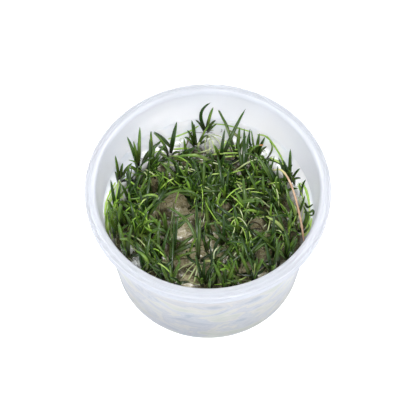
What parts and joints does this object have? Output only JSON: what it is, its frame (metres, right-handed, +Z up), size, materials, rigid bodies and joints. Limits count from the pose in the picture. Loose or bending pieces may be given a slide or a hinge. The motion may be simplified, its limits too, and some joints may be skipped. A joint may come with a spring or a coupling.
{
  "type": "tissue culture plant cup",
  "caption": "Rosettes of small pointed green leaves and thin runners on clear agar gel in an open, translucent round cup with a turned-down rim.",
  "frame": {"origin": "centre of the cup's foot, on the plane that it stands on", "axes": "+Z up along the cup's axis; -Y towards the picture's viewer, +X to their right"},
  "size_m": [0.1, 0.1, 0.062],
  "materials": {
    "translucent_polypropylene": "milky translucent, moulded, faint gloss",
    "clear_agar": "wet gloss, clear to pale brown",
    "shoreweed_leaf": "wet satin green",
    "shoreweed_stolon": "wet satin yellow-green",
    "dry_stem": "dry, matt, salmon to straw",
    "aerial_root": "fine white fibres"
  },
  "bodies": {
    "root": {"cup": "translucent_polypropylene", "gel": "clear_agar", "plantlet_01": "shoreweed_leaf", "plantlet_02": "shoreweed_leaf", "plantlet_03": "shoreweed_leaf", "plantlet_04": "shoreweed_leaf", "plantlet_05": "shoreweed_leaf", "plantlet_06": "shoreweed_leaf", "plantlet_07": "shoreweed_leaf", "plantlet_08": "shoreweed_leaf", "plantlet_09": "shoreweed_leaf", "plantlet_10": "shoreweed_leaf", "plantlet_11": "shoreweed_leaf", "plantlet_12": "shoreweed_leaf", "plantlet_13": "shoreweed_leaf", "plantlet_14": "shoreweed_leaf", "plantlet_15": "shoreweed_leaf", "plantlet_16": "shoreweed_leaf", "plantlet_17": "shoreweed_leaf", "plantlet_18": "shoreweed_leaf", "plantlet_19": "shoreweed_leaf", "plantlet_20": "shoreweed_leaf", "plantlet_21": "shoreweed_leaf", "plantlet_22": "shoreweed_leaf", "plantlet_23": "shoreweed_leaf", "plantlet_24": "shoreweed_leaf", "plantlet_25": "shoreweed_leaf", "plantlet_26": "shoreweed_leaf", "plantlet_27": "shoreweed_leaf", "plantlet_28": "shoreweed_leaf", "plantlet_29": "shoreweed_leaf", "plantlet_30": "shoreweed_leaf", "plantlet_31": "shoreweed_leaf", "plantlet_32": "shoreweed_leaf", "plantlet_33": "shoreweed_leaf", "plantlet_34": "shoreweed_leaf", "plantlet_35": "shoreweed_leaf", "plantlet_36": "shoreweed_leaf", "plantlet_37": "shoreweed_leaf", "plantlet_38": "shoreweed_leaf", "plantlet_39": "shoreweed_leaf", "plantlet_40": "shoreweed_leaf", "plantlet_41": "shoreweed_leaf", "plantlet_42": "shoreweed_leaf", "runner_rear_left": "shoreweed_stolon", "runner_rear": "shoreweed_stolon", "runner_rear_right": "shoreweed_stolon", "runner_right": "shoreweed_stolon", "runner_left": "shoreweed_stolon", "runner_front_left": "shoreweed_stolon", "dry_strand": "dry_stem", "root_tuft_1": "aerial_root", "root_tuft_2": "aerial_root", "root_tuft_3": "aerial_root", "root_tuft_4": "aerial_root", "root_tuft_5": "aerial_root"}
  },
  "joints": []
}
